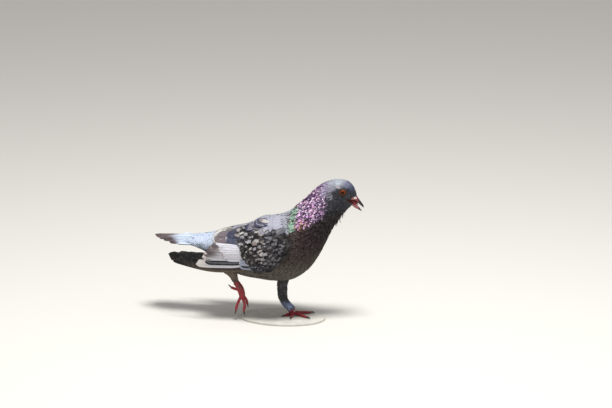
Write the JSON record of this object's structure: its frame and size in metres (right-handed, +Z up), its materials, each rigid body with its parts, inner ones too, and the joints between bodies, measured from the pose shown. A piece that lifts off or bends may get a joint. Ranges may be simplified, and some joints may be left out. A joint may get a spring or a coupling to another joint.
{
  "type": "feral pigeon model",
  "caption": "Life-size still model of a feral pigeon walking on one foot, neck forward and bill open, on a thin oval base.",
  "frame": {"origin": "centre of the oval base's underside, on the floor", "axes": "+X the way the bird faces, +Y to its left, +Z up"},
  "size_m": [0.2932, 0.0932, 0.1995],
  "materials": {
    "head_feathers": "short blue-grey feathers, darker on the cheeks",
    "neck_feathers": "glossy purple and pink feathers with a green band at the back of the neck",
    "body_feathers": "dark grey-brown breast and belly feathers, blue-grey on the mantle",
    "rump_feathers": "pale feathers on the lower back and over the tail",
    "tail_feathers": "pale blue-grey vanes with a dark band at the end",
    "covert_feathers": "charcoal feathers checkered with cream",
    "secondary_feathers": "pale grey vanes with a dark bar",
    "primary_feathers": "slate-black vanes with pale fringes",
    "thigh_feathers": "short dark grey feathers",
    "leg_skin": "red scaly skin",
    "claw_horn": "dark horn",
    "bill_horn": "dark horn, reddish at the root",
    "cere_skin": "powdery white skin",
    "mouth_lining": "moist pink-red skin",
    "eye_surface": "orange iris with a black pupil under a clear surface",
    "base_surface": "matt pale grey"
  },
  "bodies": {
    "root": {"head": "head_feathers", "neck": "neck_feathers", "trunk": "body_feathers", "rump": "rump_feathers", "tail": "tail_feathers", "bill_upper": "bill_horn", "bill_lower": "bill_horn", "cere": "cere_skin", "tongue": "mouth_lining", "eye_left": "eye_surface", "eye_right": "eye_surface", "stand_base": "base_surface", "wing_left_shoulder": "covert_feathers", "wing_left_secondaries": "secondary_feathers", "wing_left_primaries": "primary_feathers", "thigh_left": "thigh_feathers", "tarsus_left": "leg_skin", "toe_left_1": "leg_skin", "claw_left_1": "claw_horn", "toe_left_2": "leg_skin", "claw_left_2": "claw_horn", "toe_left_3": "leg_skin", "claw_left_3": "claw_horn", "toe_left_4": "leg_skin", "claw_left_4": "claw_horn", "wing_right_shoulder": "covert_feathers", "wing_right_secondaries": "secondary_feathers", "wing_right_primaries": "primary_feathers", "thigh_right": "thigh_feathers", "tarsus_right": "leg_skin", "toe_right_1": "leg_skin", "claw_right_1": "claw_horn", "toe_right_2": "leg_skin", "claw_right_2": "claw_horn", "toe_right_3": "leg_skin", "claw_right_3": "claw_horn", "toe_right_4": "leg_skin", "claw_right_4": "claw_horn"}
  },
  "joints": []
}
